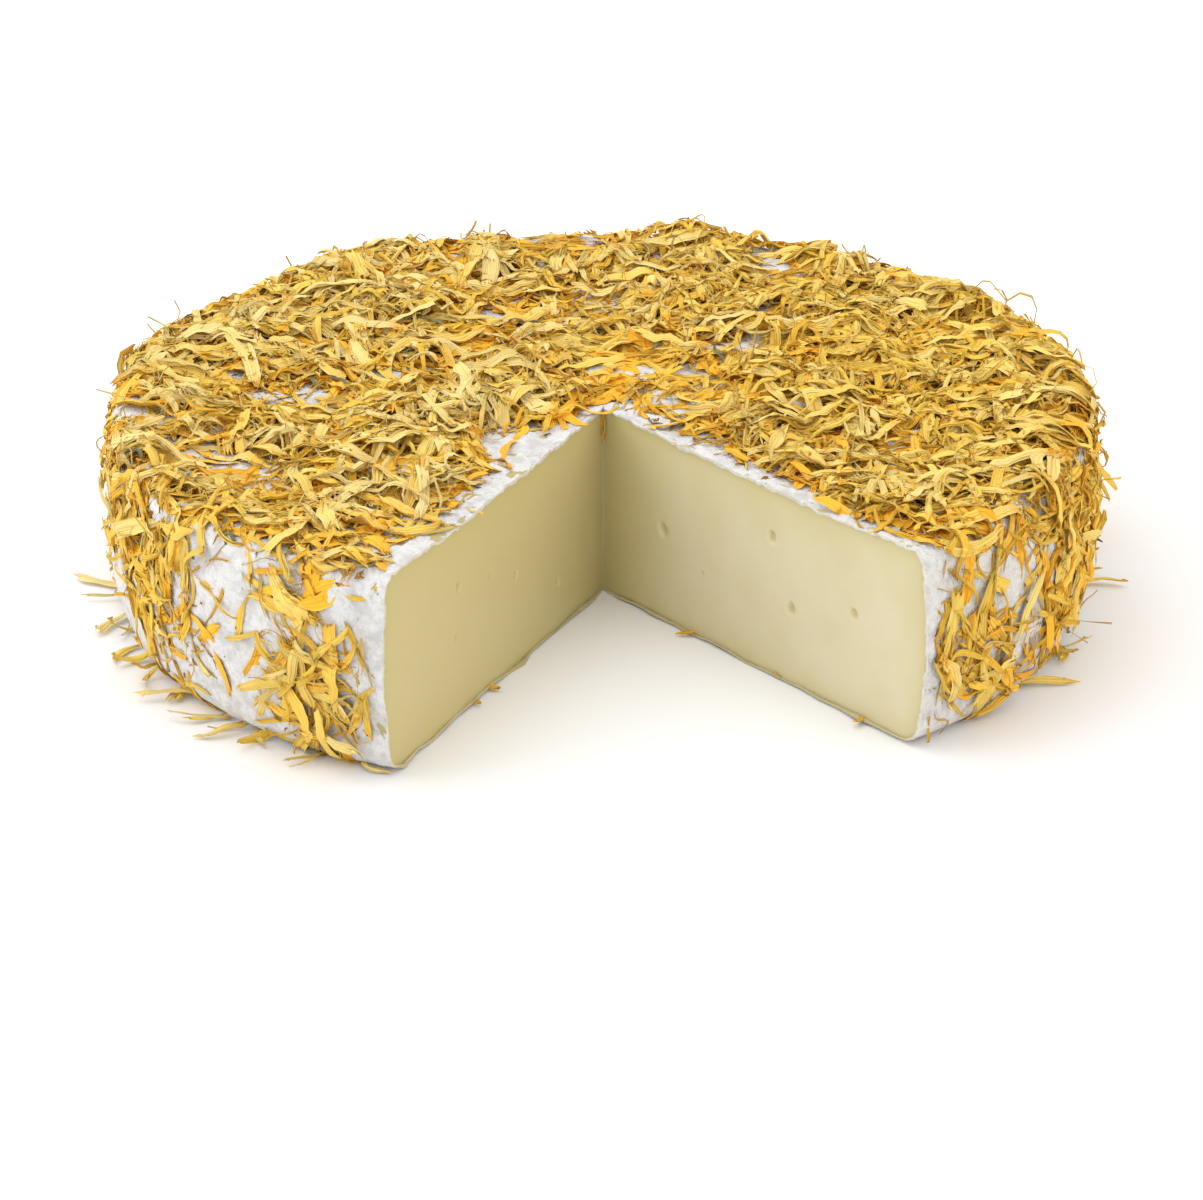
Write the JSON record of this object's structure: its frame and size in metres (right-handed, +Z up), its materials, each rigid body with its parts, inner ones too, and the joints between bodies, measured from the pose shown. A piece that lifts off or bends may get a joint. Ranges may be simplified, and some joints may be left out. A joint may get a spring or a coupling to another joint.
{
  "type": "brie wheel",
  "caption": "Soft-ripened cheese wheel with a white rind under a coat of dried marigold petals, and one wedge cut out to show its pale paste.",
  "frame": {"origin": "centre of the wheel's flat base, on the wheel's axis", "axes": "+Z up along the wheel's axis, and the missing wedge opens towards -Y"},
  "size_m": [0.2386, 0.2266, 0.05],
  "materials": {
    "rind": "bloomy, matte",
    "paste": "moist, satin",
    "petals": "dry, papery",
    "green_bits": "dry, papery"
  },
  "bodies": {
    "root": {"wheel": "rind"}
  },
  "joints": []
}
